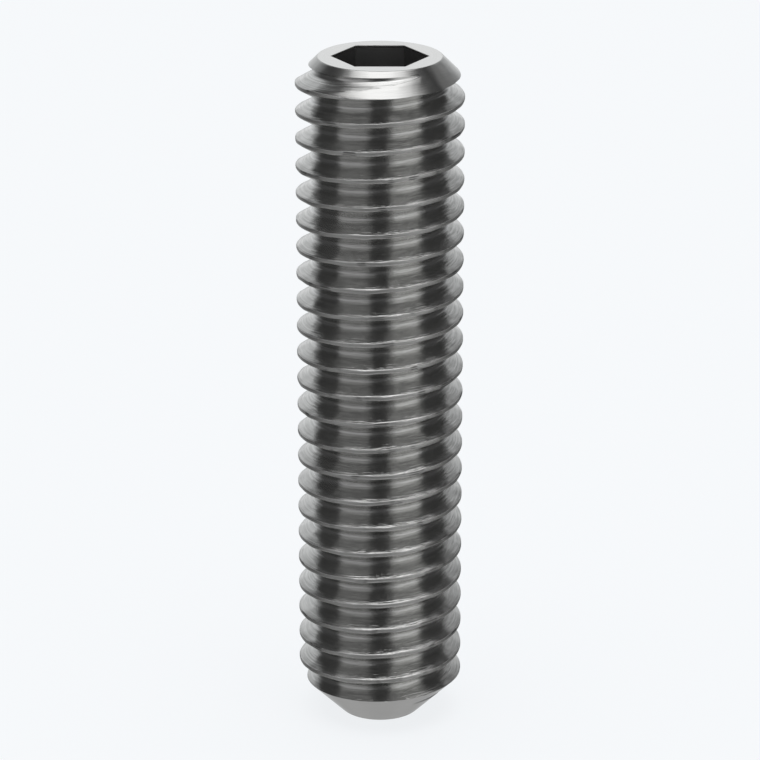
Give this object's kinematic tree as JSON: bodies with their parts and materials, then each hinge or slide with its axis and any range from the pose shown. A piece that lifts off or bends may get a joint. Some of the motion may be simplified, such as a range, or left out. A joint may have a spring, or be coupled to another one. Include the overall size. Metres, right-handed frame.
{
  "type": "grub set screw",
  "caption": "Headless threaded set screw with a hexagon socket in one end and a cup point at the other.",
  "frame": {"origin": "centre of the cup point's rim, the end that the screw stands on", "axes": "+Z along the screw's axis from the cup point to the socket face, +X through a corner of the hexagon socket"},
  "size_m": [0.006, 0.006, 0.025],
  "materials": {
    "steel": "bright stainless steel with fine turning marks"
  },
  "bodies": {
    "root": {"set_screw": "steel"}
  },
  "joints": []
}
